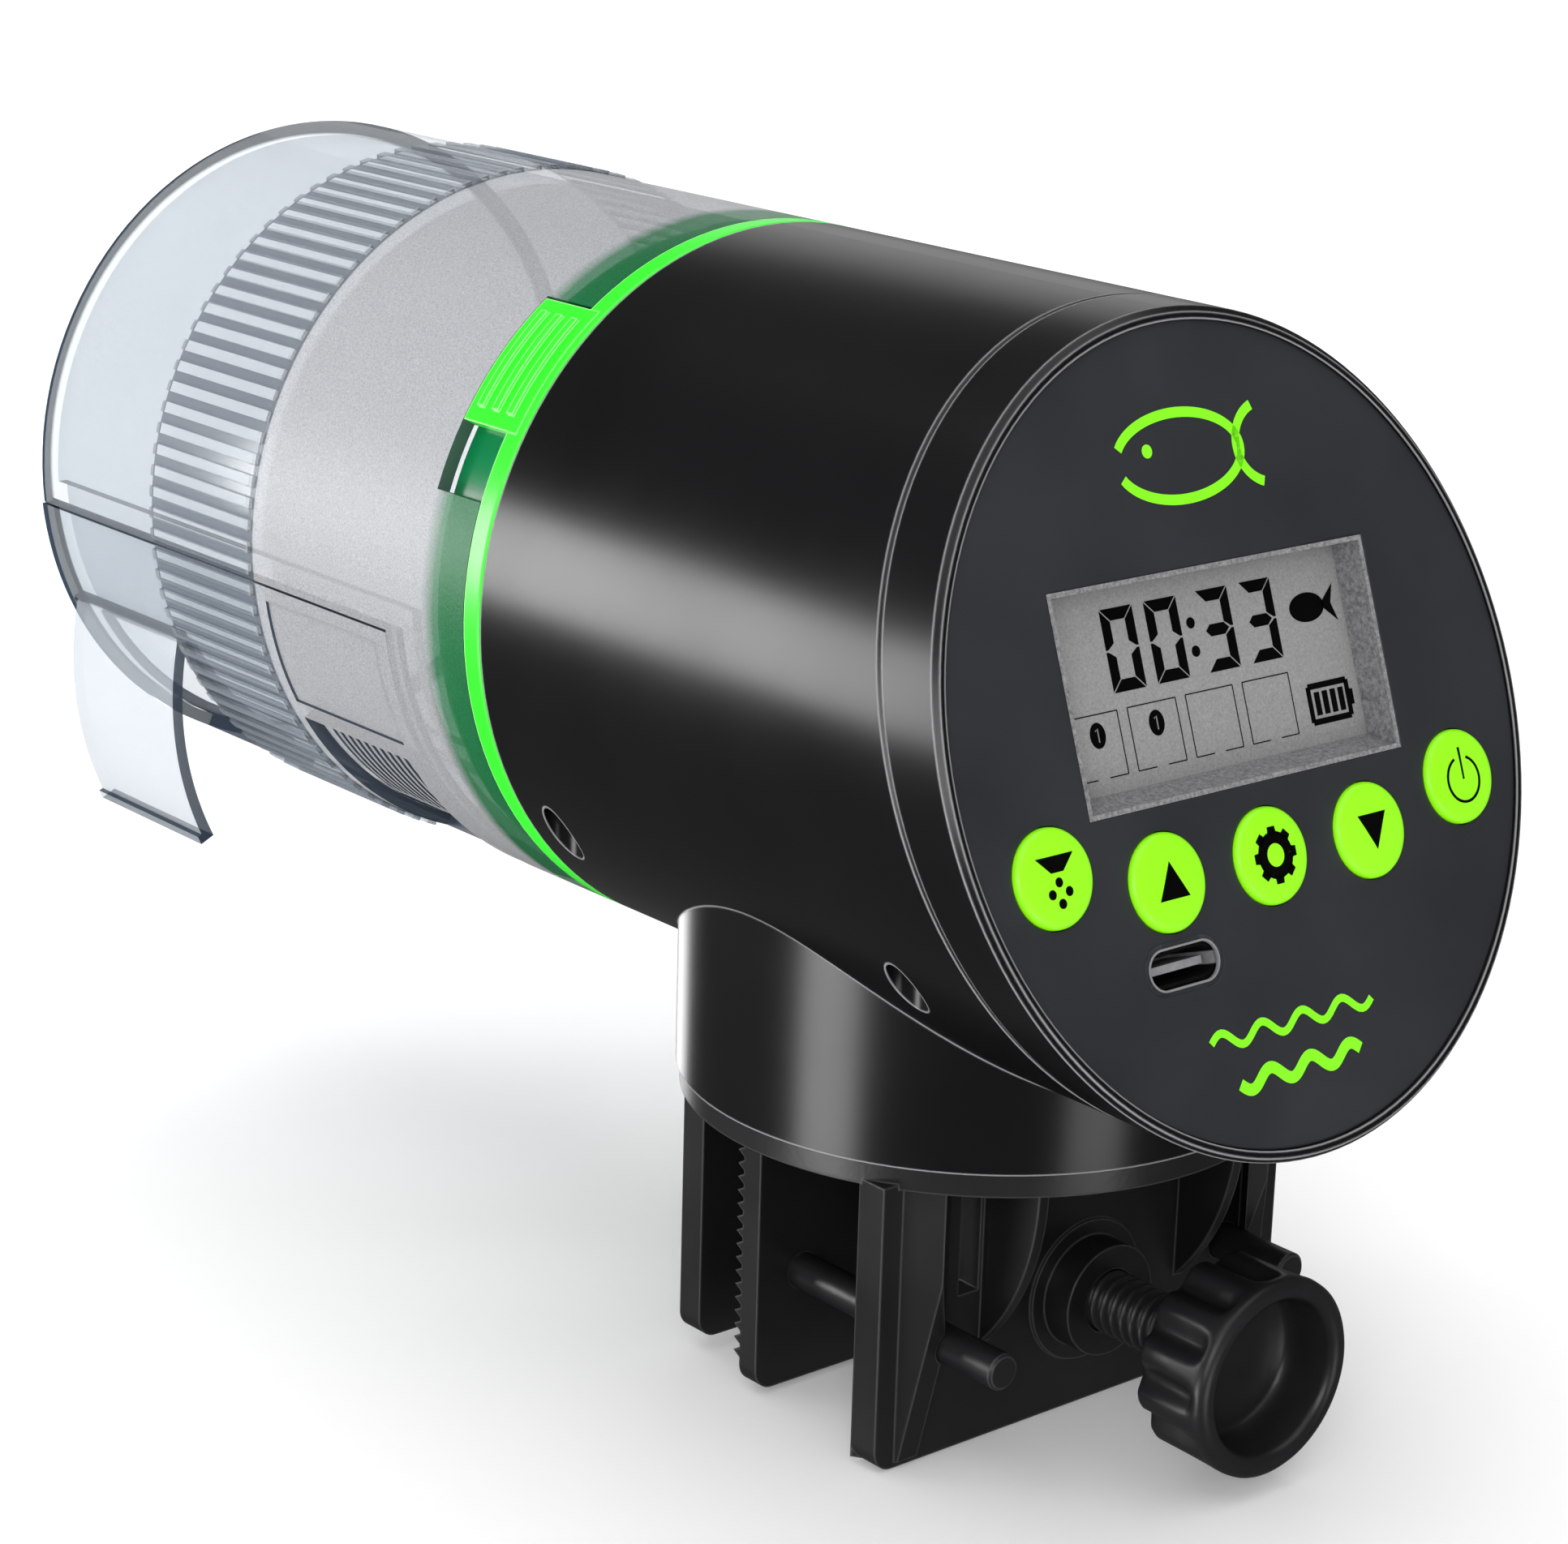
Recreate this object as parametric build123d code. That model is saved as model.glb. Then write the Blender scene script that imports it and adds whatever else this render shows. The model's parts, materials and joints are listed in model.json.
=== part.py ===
"""Automatic fish feeder with a rotating food drum, a slanted control face and a tank-rim clamp.

All shapes are drawn about the drum's axis: Y runs from the control face (-Y) to the drum (+Y),
Z is up. save() moves them so that the origin is where the tank's rim meets the fixed jaw.
Angles round the drum are measured downwards from its -X side.
"""
from build123d import *
import math
import os

# Driving dimensions, in millimetres and degrees
BODY_R = 35.0             # radius of the body and the drum
SHELL_WALL = 2.2
DRUM_WALL = 1.5
DRUM_END = 80.7           # far end of the drum
FACE_SLANT = 19.9         # the control face leans back by this angle
FACE_Y = -64.3            # the face rim where it crosses the drum's axis
BEZEL_DEPTH = 6.5         # from the rim to the seam, square to the face
SEAM_CHAMFER = 0.3        # each side of the seam, a V-shaped line
NECK_R = 28.8
NECK_Y = -32.5            # the swivel's vertical axis
NECK_BOTTOM = -39.95
COLLAR_R = 28.4
COLLAR_TOP = -40.0
COLLAR_BOTTOM = -42.2
JAW_A_FACE = -18.9        # inner face of the fixed jaw, where the tank's rim rests
JAW_TIPS = -26.0          # tips of the moving jaw's teeth
JAW_FRONT = -29.3
CLAMP_PLATE = 3.3         # thickness of the clamp's front plate
CLAMP_BACK = -44.7        # rear face of the clamp's front plate
SCREW_Z = -58.0
SCREW_R = 3.0
SCREW_END = -66.0         # the screw stops inside the knob
THREAD_PITCH = 1.25
PIN_X = 18.5
PIN_R = 1.75
RUN = 0.08                # radial clearance of a running fit
KNURL_COUNT = 100
KNURL_Y = (38.9, 57.4)
KNURL_HEIGHT = 0.45
RECESS_Y = 15.6
LINER_R = 33.6            # outside of the drum wall under the gate
GATE_SPAN = (6.0, 72.0)
GATE_TRAVEL = 24.0
RECESS = (GATE_SPAN[0] - 0.5, GATE_SPAN[1] + GATE_TRAVEL + 1.0)
FLAP_SPAN = (25.2, 63.6)
FLAP_Y = (58.6, 79.0)
FLAP_HINGE_R = 34.25
FLAP_OPEN = 37.0          # the flap hangs open by this angle
WINDOW_Y = (18.6, 37.2)   # the dosing window in the gate
WINDOW_SPAN = (31.0, 69.5)
OUTLET_SPAN = (55.0, 75.0)  # the outlet in the drum's wall behind the window
GROOVE_SPAN = (28.0, 53.0)  # fine grooves in the wall above the outlet
GROOVE_COUNT = 12
GROOVE_PITCH = 1.4
RING_BASE = 1.75          # the bright ring's flange ends here, under the hub
RING_END = 2.6            # and its outer lip ends here, beside the drum
DRUM_START = 2.7
TAB_SPAN = (-53.8, -30.5)
NOTCH_SPAN = (-54.3, -19.0)
TAB_END = 9.4
TWIST = 11.0              # turn that frees the drum from its lock
LUG_ANGLES = (20, 140, 260)
LUG_HALF = 4.0            # half the width of a bayonet lug, in degrees
BUTTON_R = 4.32
BUTTONS = {
    "manual": (-25.15, -8.13),
    "up": (-12.57, -10.8),
    "set": (0.0, -10.8),
    "down": (12.57, -10.8),
    "power": (25.15, -8.13),
}
LCD_CENTRE = (-0.5, 5.3)
LCD_SIZE = (37.6, 18.4)
USB_CENTRE = (-12.3, -18.0)
BOARD_FRONT = 7.4         # depth of the circuit board behind the face
BOARD_THICK = 1.6
MODULE = 0.6              # gear module
OUTPUT_TEETH = 40
WHEEL_TEETH = 36
PINION_TEETH = 10
OUTPUT_DISTANCE = MODULE * (OUTPUT_TEETH + PINION_TEETH) / 2
INPUT_DISTANCE = MODULE * (WHEEL_TEETH + PINION_TEETH) / 2
OUTPUT_DIRECTION = 40.0   # from the drive shaft to the compound gear
INPUT_DIRECTION = 150.0   # from the compound gear to the motor
SHAFT_R = 3.0
HOUSING_SCREWS = [(-28.9, -5.1), (28.9, -5.1), (-27.8, -52.5), (27.8, -52.5)]
DECK_Z = -11.0            # underside of the inner deck, on top of the screw wells
BOARD_SCREWS = [(-23.5, 12.0), (23.5, 12.0), (-20.5, -17.5), (20.5, -17.5)]
PLATE_R = 27.5            # the gearbox plate
PLATE_Y = (-14.0, -12.5)
PLATE_POSTS = [(-21, 4), (24, 0), (-15, 18), (4, 24)]
BATTERY_WIDTH = 34.0
BATTERY_Y = (-52.0, -16.0)
BATTERY_HEIGHT = 9.55
MOTOR_R = 7.75
MOTOR_FLAT = 6.0          # half the height between the motor's flats
JAW_BOTTOM = -69.5
JAW_CORNER = 2.0          # rounding of the jaws' lower corners

SLANT = math.radians(FACE_SLANT)
FACE = Plane(origin=(0, FACE_Y, 0), x_dir=(1, 0, 0), z_dir=(0, -math.cos(SLANT), math.sin(SLANT)))
RIM = Vector(0, JAW_A_FACE, COLLAR_BOTTOM)


def save(name, shape):
    """Write one node, moved so that the origin is at the rim seat."""
    export_step(Pos(-RIM.X, -RIM.Y, -RIM.Z) * shape, f"parts/{name}.step")


def rod(radius, start, end, x=0.0, z=0.0):
    """A cylinder along Y."""
    return extrude(Plane(origin=(x, start, z), z_dir=(0, 1, 0)) * Circle(radius), end - start)


def tube(outer, inner, start, end):
    return rod(outer, start, end) - rod(inner, start - 1, end + 1)


def post(radius, x, y, low, high):
    """A cylinder along Z."""
    return Pos(x, y, low) * Cylinder(radius, high - low, align=(Align.CENTER, Align.CENTER, Align.MIN))


def block(x, y, z):
    """A box from three (low, high) pairs."""
    size = Box(x[1] - x[0], y[1] - y[0], z[1] - z[0], align=(Align.MIN, Align.MIN, Align.MIN))
    return Pos(x[0], y[0], z[0]) * size


def rim_point(radius, angle):
    """The (x, z) place at an angle round the drum."""
    turn = math.radians(angle)
    return (-radius * math.cos(turn), -radius * math.sin(turn))


def arc_wall(inner, outer, start, end, low, high):
    """A curved wall from angle low to angle high, between two places along Y."""
    middle = (low + high) / 2
    corners = [rim_point(inner, low), rim_point(inner, middle), rim_point(inner, high)]
    far = [rim_point(outer, high), rim_point(outer, middle), rim_point(outer, low)]
    outline = ThreePointArc(*corners) + Line(corners[2], far[0]) + ThreePointArc(*far)
    outline += Line(far[2], corners[0])
    # The plane's local Y is world -Z, so the drawing is turned over
    face = mirror(make_face(outline), about=Plane.XZ)
    return extrude(Plane(origin=(0, start, 0), x_dir=(1, 0, 0), z_dir=(0, 1, 0)) * face, end - start)


def turned(profile):
    """Revolve an (r, y) outline about the drum's axis."""
    return revolve(Plane.XY * make_face(Polyline(*profile, close=True)), Axis.Y)


def slab(near, far):
    """The space between two depths behind the slanted face plane."""
    return FACE * Pos(0, 0, -far) * Box(120, 120, far - near, align=(Align.CENTER, Align.CENTER, Align.MIN))


def face_disc(radius, near, far):
    """A disc of the body's section, cut parallel to the slanted face."""
    return rod(radius, FACE_Y - 40, FACE_Y + 60) & slab(near, far)


def on_face(sketch, near, far, place=(0, 0)):
    """A prism square to the face, between two depths behind it."""
    return extrude(FACE * Pos(place[0], place[1], -far) * sketch, far - near)


def knurl(low, high):
    """Ribs along the drum between two angles."""
    pitch = 360 / KNURL_COUNT
    first = math.ceil(low / pitch + 0.3)
    last = math.floor(high / pitch - 0.3)
    ribs = []
    for index in range(first, last + 1):
        centre = index * pitch
        ribs.append(arc_wall(BODY_R - 0.3, BODY_R + KNURL_HEIGHT, *KNURL_Y, centre - 0.9, centre + 0.9))
    return ribs


def gear_outline(teeth, addendum, turn=0.0):
    """An involute gear in its own plane, thinned for backlash, with a tooth at angle turn."""
    pitch_r = MODULE * teeth / 2
    base_r = pitch_r * math.cos(math.radians(20))
    tip_r = pitch_r + addendum * MODULE
    root_r = pitch_r - 1.25 * MODULE
    backlash = 0.07
    involute = math.tan(math.radians(20)) - math.radians(20)
    half = math.pi / (2 * teeth) - backlash / pitch_r + involute
    start_r = max(base_r, root_r)
    flank = []
    for step in range(5):
        radius = start_r + (tip_r - start_r) * step / 4
        pressure = math.acos(min(1.0, base_r / radius))
        flank.append((radius, half - (math.tan(pressure) - pressure)))
    points = []
    for tooth in range(teeth):
        centre = math.radians(turn) + 2 * math.pi * tooth / teeth
        sides = [(root_r, -flank[0][1])] + [(radius, -angle) for radius, angle in flank]
        sides += [(radius, angle) for radius, angle in reversed(flank)] + [(root_r, flank[0][1])]
        for radius, angle in sides:
            place = (radius * math.cos(centre + angle), radius * math.sin(centre + angle))
            if not points or math.dist(place, points[-1]) > 1e-4:
                points.append(place)
    return make_face(Polyline(*points, close=True))


def gear(teeth, addendum, turn, start, end, x, z):
    """A gear about a Y axis; turn is measured in the XZ plane from +X towards +Z."""
    drawing = mirror(gear_outline(teeth, addendum, turn), about=Plane.XZ)
    plane = Plane(origin=(x, start, z), x_dir=(1, 0, 0), z_dir=(0, 1, 0))
    return extrude(plane * drawing, end - start)


def compound_centre():
    turn = math.radians(OUTPUT_DIRECTION)
    return (OUTPUT_DISTANCE * math.cos(turn), OUTPUT_DISTANCE * math.sin(turn))


def motor_centre():
    x, z = compound_centre()
    turn = math.radians(INPUT_DIRECTION)
    return (x + INPUT_DISTANCE * math.cos(turn), z + INPUT_DISTANCE * math.sin(turn))


# Tank clamp

def clamp_frame():
    collar = post(COLLAR_R, 0, NECK_Y, COLLAR_BOTTOM, COLLAR_TOP)
    spigot = post(8.0, 0, NECK_Y, COLLAR_TOP - 0.5, -37.65)
    rear_half = 22.4
    front_half = 25.5
    top = COLLAR_BOTTOM + 0.5
    plate_front = CLAMP_BACK - CLAMP_PLATE
    rear = block((-rear_half, rear_half), (JAW_A_FACE, JAW_A_FACE + 3), (JAW_BOTTOM + 1.5, top))
    front = block((-front_half, front_half), (plate_front, CLAMP_BACK), (JAW_BOTTOM, top))
    rear = fillet(rear.edges().filter_by(Axis.Y).group_by(Axis.Z)[0], JAW_CORNER)
    front = fillet(front.edges().filter_by(Axis.Y).group_by(Axis.Z)[0], JAW_CORNER)
    frame = collar + spigot + rear + front
    for side in (-1, 1):
        frame += side_flange(side)
        frame += brace(side)
    boss_front = plate_front - 3.5
    frame += rod(6.9, plate_front - 0.35, CLAMP_BACK - 1, z=SCREW_Z)
    frame += rod(5.4, boss_front, CLAMP_BACK - 1, z=SCREW_Z)
    frame -= rod(SCREW_R + RUN, boss_front - 1, CLAMP_BACK + 1, z=SCREW_Z)
    for side in (-1, 1):
        frame -= rod(PIN_R + RUN, CLAMP_BACK - 12, CLAMP_BACK + 1, x=side * PIN_X, z=SCREW_Z)
        slot = (13.6, 16.0) if side > 0 else (-16.0, -13.6)
        frame -= block(slot, (CLAMP_BACK - 5, CLAMP_BACK + 1), (-54.5, COLLAR_BOTTOM))
    frame -= post(1.95, 0, NECK_Y, -41.2, -30)
    return frame


def side_flange(side):
    """A flange that follows the collar's rim inwards and narrows towards the bottom."""
    plan = [(25.5, -44.7), (20.9, -51.2), (19.3, -50.1), (23.0, -44.7)]
    outline = make_face(Polyline(*[(side * x, y) for x, y in plan], close=True))
    low = JAW_BOTTOM + 0.5
    wall = extrude(Pos(0, 0, low) * outline, COLLAR_BOTTOM + 0.5 - low)
    taper = [(-60.0, -49.0), (-51.5, -49.0), (-48.2, -69.5), (-60.0, -69.5)]
    wedge = extrude(Plane.YZ * make_face(Polyline(*taper, close=True)), 30, both=True)
    return wall - wedge


def brace(side):
    """A curved rib from the collar down to the front plate."""
    top = (-55.0, COLLAR_BOTTOM + 0.5)
    bend = (-53.4, -51.5)
    foot = (-47.9, -60.0)
    outline = Line((-47.0, COLLAR_BOTTOM + 0.5), top) + ThreePointArc(top, bend, foot)
    outline += Line(foot, (-47.0, -60.0)) + Line((-47.0, -60.0), (-47.0, COLLAR_BOTTOM + 0.5))
    x = 12.0 if side > 0 else -13.2
    return Pos(x, 0, 0) * extrude(Plane.YZ * make_face(outline), 1.2)


def clamp_jaw():
    half = 24.0
    teeth = 17
    low, high = JAW_BOTTOM + 0.5, -43.0
    plate = block((-half, half), (JAW_FRONT, JAW_TIPS - 0.9), (low, high))
    plate = fillet(plate.edges().filter_by(Axis.Y).group_by(Axis.Z)[0], JAW_CORNER)
    pitch = (high - low - 3.0) / teeth
    for index in range(teeth):
        z = high - 0.5 - pitch * (index + 0.5)
        ridge = [(JAW_TIPS - 1.2, z - pitch / 2), (JAW_TIPS, z), (JAW_TIPS - 1.2, z + pitch / 2)]
        plate += extrude(Plane.YZ * make_face(Polyline(*ridge, close=True)), half, both=True)
    for side in (-1, 1):
        plate -= rod(PIN_R, JAW_FRONT - 1, JAW_FRONT + 1.5, x=side * PIN_X, z=SCREW_Z)
    return plate - rod(SCREW_R + RUN, JAW_FRONT - 1, JAW_FRONT + 1.0, z=SCREW_Z)


def guide_pins():
    pins = []
    for side in (-1, 1):
        pin = rod(PIN_R, -57.0, JAW_FRONT + 1.5, x=side * PIN_X, z=SCREW_Z)
        pins.append(chamfer(pin.edges().sort_by(Axis.Y)[0], 0.25))
    return Compound(children=pins)


def clamp_screw():
    """The thumb screw's shank, grooved at the thread's pitch."""
    tip = JAW_FRONT + 0.95
    end = SCREW_END
    profile = [(0, tip), (SCREW_R - 0.4, tip), (SCREW_R, tip - 0.5), (SCREW_R, tip - 1.5)]
    y = tip - 1.5
    while y - THREAD_PITCH > end:
        profile += [(SCREW_R - 0.45, y - THREAD_PITCH / 2), (SCREW_R, y - THREAD_PITCH * 0.85)]
        y -= THREAD_PITCH
        profile.append((SCREW_R, y))
    profile += [(SCREW_R, end), (0, end)]
    return Pos(0, 0, SCREW_Z) * turned(profile)


def clamp_knob():
    """A fluted hand wheel with a hollow front."""
    back, front = -63.8, -72.6
    radius = 9.6
    flutes = 12
    wheel = rod(radius, front, back, z=SCREW_Z)
    for index in range(flutes):
        turn = 2 * math.pi * index / flutes
        x = (radius + 1.3) * math.cos(turn)
        wheel -= rod(2.1, front - 1, back + 1, x=x, z=SCREW_Z + (radius + 1.3) * math.sin(turn))
    cup = rod(7.3, front - 1, front + 5.6, z=SCREW_Z)
    wheel -= fillet(cup.edges().sort_by(Axis.Y)[-1], 1.5)
    wheel -= rod(SCREW_R, SCREW_END, back + 1, z=SCREW_Z)
    return wheel


def swivel_retainer():
    return post(12.0, 0, NECK_Y, -37.65, -35.65) - post(2.0, 0, NECK_Y, -38, -35)


def swivel_screw():
    return post(1.9, 0, NECK_Y, -41.0, -35.6) + post(3.5, 0, NECK_Y, -35.65, -33.6)


# Feeder housing

def body_shell():
    seam = BEZEL_DEPTH
    outer = rod(BODY_R, FACE_Y - 40, 0) - slab(-100, seam)
    outer = chamfer(outer.edges().filter_by(GeomType.ELLIPSE), SEAM_CHAMFER)
    neck = post(NECK_R, 0, NECK_Y, NECK_BOTTOM, -10)
    shell = outer + neck
    shell -= rod(BODY_R - SHELL_WALL, FACE_Y - 40, -SHELL_WALL)
    shell -= post(NECK_R - 2.0, 0, NECK_Y, -37.75, -5)
    for x, y in HOUSING_SCREWS:
        well = post(3.2, x, y, -34, DECK_Z - 0.05) & rod(BODY_R - 0.5, -70, -SHELL_WALL / 2)
        shell += well
        shell -= post(1.9, x, y, -40, DECK_Z - 1.8)
        shell -= post(1.1, x, y, -40, DECK_Z + 1)
    shell -= post(8.0 + RUN, 0, NECK_Y, -41, -37)
    return shell - rod(5.0, -SHELL_WALL - 1, 1)


def front_bezel():
    ring = face_disc(BODY_R, 0, BEZEL_DEPTH)
    ring = chamfer(ring.edges().filter_by(GeomType.ELLIPSE).sort_by(Axis.Y)[0], 0.5)
    ring = chamfer(ring.edges().filter_by(GeomType.ELLIPSE).sort_by(Axis.Y)[-1], SEAM_CHAMFER)
    ring += face_disc(BODY_R - SHELL_WALL - RUN, BEZEL_DEPTH - 0.5, BEZEL_DEPTH + 4.0)
    ring -= face_disc(BODY_R - 1.1, -1, 2.4)
    return ring - face_disc(31.6, 2, BEZEL_DEPTH + 5)


def face_panel():
    panel = face_disc(BODY_R - 1.15, 0.35, 2.35)
    for place in BOARD_SCREWS:
        panel += on_face(Circle(2.2), 2.0, BOARD_FRONT, place)
        panel -= on_face(Circle(0.95), 4.0, BOARD_FRONT + 1, place)
    for place in BUTTONS.values():
        panel -= on_face(Circle(BUTTON_R + RUN), -1, 3, place)
    panel -= on_face(Rectangle(LCD_SIZE[0] + 1, LCD_SIZE[1] + 1), -1, 3, LCD_CENTRE)
    return panel - on_face(SlotOverall(9.2, 4.5), -1, 3, USB_CENTRE)


def lcd_frame():
    """The frame that lines the display's window, with a sloped sill."""
    width, height = LCD_SIZE
    outer = on_face(Rectangle(width + 0.9, height + 0.9), 0.35, 3.6, LCD_CENTRE)
    opening = on_face(Rectangle(width, height - 1.2), -1, 5, (LCD_CENTRE[0], LCD_CENTRE[1] + 0.6))
    v_low = LCD_CENTRE[1] - height / 2
    sill = [(0.0, v_low), (0.0, v_low + 1.3), (-3.65, v_low + 1.3), (-1.0, v_low)]
    wedge = Polyline(*[(v, depth) for depth, v in sill], close=True)
    profile = Plane(origin=(0, 0, 0), x_dir=(0, 1, 0), z_dir=(1, 0, 0)) * make_face(wedge)
    ramp = FACE * Pos(LCD_CENTRE[0], 0, 0) * extrude(profile, width / 2, both=True)
    return outer - opening - ramp


def lcd_panel():
    return on_face(Rectangle(40, 20.6), 3.65, BOARD_FRONT, LCD_CENTRE)


def button(place):
    cap = on_face(Circle(BUTTON_R), -0.1, 2.6, place)
    cap = fillet(cap.edges().sort_by(Axis.Y)[0], 0.35)
    flange = on_face(Circle(4.85), 2.45, 3.3, place)
    return cap + flange + on_face(Circle(1.5), 3.2, 5.25, place)


def button_switches():
    switches = [on_face(Rectangle(5, 5), 5.9, BOARD_FRONT, place) for place in BUTTONS.values()]
    return Compound(children=switches)


def main_board():
    board = face_disc(30.6, BOARD_FRONT, BOARD_FRONT + BOARD_THICK)
    for place in BOARD_SCREWS:
        board -= on_face(Circle(1.1), 5, 12, place)
    return board


def board_screws():
    back = BOARD_FRONT + BOARD_THICK
    screws = []
    for place in BOARD_SCREWS:
        shank = on_face(Circle(0.9), 4.3, back + 0.1, place)
        head = on_face(Circle(1.8), back, back + 1.1, place)
        screws.append(shank + head)
    return Compound(children=screws)


def usb_socket():
    shell = on_face(SlotOverall(8.94, 3.16), 1.0, BOARD_FRONT, USB_CENTRE)
    shell -= on_face(SlotOverall(8.34, 2.56), 0, 6.2, USB_CENTRE)
    return shell + on_face(Rectangle(6.69, 0.7), 1.7, 6.5, USB_CENTRE)


def chassis():
    """The inner frame: a deck over the battery, screw rails and the gearbox plate."""
    frame = block((-27, 27), (-55, -12.5), (DECK_Z, DECK_Z + 1.5))
    for side in (-1, 1):
        rail = block(sorted((side * 25.5, side * 30.6)), (-55, -2.6), (DECK_Z, DECK_Z + 5.4))
        frame += rail
    x, z = motor_centre()
    frame += rod(PLATE_R, *PLATE_Y) - block((-40, 40), (-20, -5), (-40, DECK_Z + 1))
    for place in PLATE_POSTS:
        frame += rod(2.2, PLATE_Y[1] - 0.5, -SHELL_WALL - 0.05, x=place[0], z=place[1])
    for place in HOUSING_SCREWS:
        frame -= post(1.05, place[0], place[1], DECK_Z - 1, DECK_Z + 4.3)
    frame -= rod(3.05, -20, -5, x=x, z=z)
    compound = compound_centre()
    frame -= rod(1.0, -20, -12, x=compound[0], z=compound[1])
    return frame - rod(SHAFT_R + RUN, -20, -12)


def housing_screws():
    screws = []
    for x, y in HOUSING_SCREWS:
        seat = DECK_Z - 1.8
        screws.append(post(1.0, x, y, seat - 0.1, DECK_Z + 4.0) + post(1.75, x, y, seat - 1.3, seat))
    return Compound(children=screws)


def battery_pack():
    top = DECK_Z - 0.05
    half = BATTERY_WIDTH / 2
    pack = block((-half, half), BATTERY_Y, (top - BATTERY_HEIGHT, top))
    return fillet(pack.edges().filter_by(Axis.Y), 2.5)


def motor():
    x, z = motor_centre()
    front, back = -34.0, PLATE_Y[0] - 0.05
    can = rod(MOTOR_R, front, back, x=x, z=z)
    can &= block((x - MOTOR_R, x + MOTOR_R), (front, back), (z - MOTOR_FLAT, z + MOTOR_FLAT))
    can += rod(3.0, front - 2.0, front + 0.1, x=x, z=z)
    return can + rod(3.0, back - 0.05, PLATE_Y[1] - 0.1, x=x, z=z)


# Drive train

def motor_pinion():
    x, z = motor_centre()
    wheel = gear(PINION_TEETH, 1.0, INPUT_DIRECTION + 180, -11.8, -8.2, x, z)
    return wheel + rod(0.75, -12.6, -11.7, x=x, z=z)


def compound_gear():
    x, z = compound_centre()
    wheel_gap = INPUT_DIRECTION + 180 / WHEEL_TEETH
    pinion_gap = OUTPUT_DIRECTION + 180 + 180 / PINION_TEETH
    wheel = gear(WHEEL_TEETH, 0.6, wheel_gap, -11.0, -8.6, x, z)
    pinion = gear(PINION_TEETH, 1.0, pinion_gap, -8.7, -4.2, x, z)
    return wheel + pinion - rod(1.0 + RUN, -13, -3, x=x, z=z)


def compound_axle():
    x, z = compound_centre()
    return rod(1.0, -14.0, -2.25, x=x, z=z)


def output_gear():
    wheel = gear(OUTPUT_TEETH, 0.6, OUTPUT_DIRECTION, -7.6, -4.6, 0, 0)
    return wheel + rod(5.0, -4.7, -2.4) - rod(SHAFT_R, -10, 0)


def drive_shaft():
    shaft = rod(SHAFT_R, -15.5, 9.0)
    shaft -= block((-5, 5), (1.75, 12), (2.2, 5))
    return shaft - rod(1.05, 3.0, 12)


def shaft_bush():
    return rod(5.0, -SHELL_WALL, 0) - rod(SHAFT_R + RUN, -5, 1)


def drum_hub():
    """The lid that carries the drum: a skirt with three bayonet lugs and a keyed socket."""
    hub = rod(BODY_R - DRUM_WALL - RUN, RING_BASE, TAB_END - 0.4)
    hub -= rod(BODY_R - DRUM_WALL - 1.7, RING_BASE + 1.55, TAB_END + 1)
    hub += rod(6.0, 3.0, 8.0)
    hub -= rod(SHAFT_R, 0, 10) - block((-5, 5), (0, 12), (2.2, 5))
    for angle in LUG_ANGLES:
        hub += arc_wall(33.0, 34.1, 5.0, 7.0, angle - LUG_HALF, angle + LUG_HALF)
    return hub


def hub_screw():
    return rod(1.0, 4.0, 9.1) + rod(2.9, 9.0, 10.6)


def lock_ring():
    """The bright ring between the body and the drum, with its ribbed latch tab."""
    ring = tube(BODY_R, 24.0, 0.2, RING_BASE)
    ring += tube(BODY_R, BODY_R - DRUM_WALL + 0.02, RING_BASE - 0.1, RING_END)
    ring = fillet(ring.edges().filter_by(GeomType.CIRCLE).group_by(Axis.Y)[0].sort_by(SortBy.RADIUS)[-1], 0.35)
    low, high = TAB_SPAN
    ring += arc_wall(BODY_R - DRUM_WALL + 0.02, BODY_R + 0.04, 1.2, TAB_END, low, high)
    for y in (3.1, 5.4, 7.7):
        ring += arc_wall(BODY_R - 0.3, BODY_R + 0.35, y - 0.45, y + 0.45, low + 2.6, high - 2.6)
    return ring


# Food drum

def drum_shell():
    shell = rod(BODY_R, DRUM_START, DRUM_END)
    shell = fillet(shell.edges().sort_by(Axis.Y)[-1], 1.0)
    shell -= rod(BODY_R - DRUM_WALL, 1.0, DRUM_END - DRUM_WALL)
    low, high = RECESS
    liner = arc_wall(LINER_R - 1.1, BODY_R - 1.3, RECESS_Y - 2.5, DRUM_END - 1, low - 3.5, high + 3.5)
    shell += liner
    shell -= arc_wall(LINER_R, BODY_R + 2, RECESS_Y, DRUM_END + 1, low, high)
    shell -= arc_wall(LINER_R, LINER_R + 0.75, RECESS_Y - 0.9, RECESS_Y + 1, low, high)
    shell -= arc_wall(30, BODY_R + 1, 60.0, 77.5, 28, 60)
    shell -= arc_wall(30, BODY_R + 1, *WINDOW_Y, *OUTLET_SPAN)
    for index in range(GROOVE_COUNT):
        y = WINDOW_Y[0] + 1.2 + index * GROOVE_PITCH
        shell -= arc_wall(LINER_R - 0.3, LINER_R + 0.1, y, y + GROOVE_PITCH / 2, *GROOVE_SPAN)
    shell -= arc_wall(BODY_R - DRUM_WALL - 1, BODY_R + 1, 0, TAB_END + 0.15, *NOTCH_SPAN)
    slot_half = LUG_HALF + 0.4
    for angle in LUG_ANGLES:
        shell -= arc_wall(33.0, 34.2, 4.9, 7.1, angle - slot_half, angle + TWIST + slot_half)
        shell -= arc_wall(33.0, 34.2, 1.0, 7.1, angle + TWIST - slot_half, angle + TWIST + slot_half)
    for rib in knurl(high, low + 360):
        shell += rib
    return shell


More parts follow.
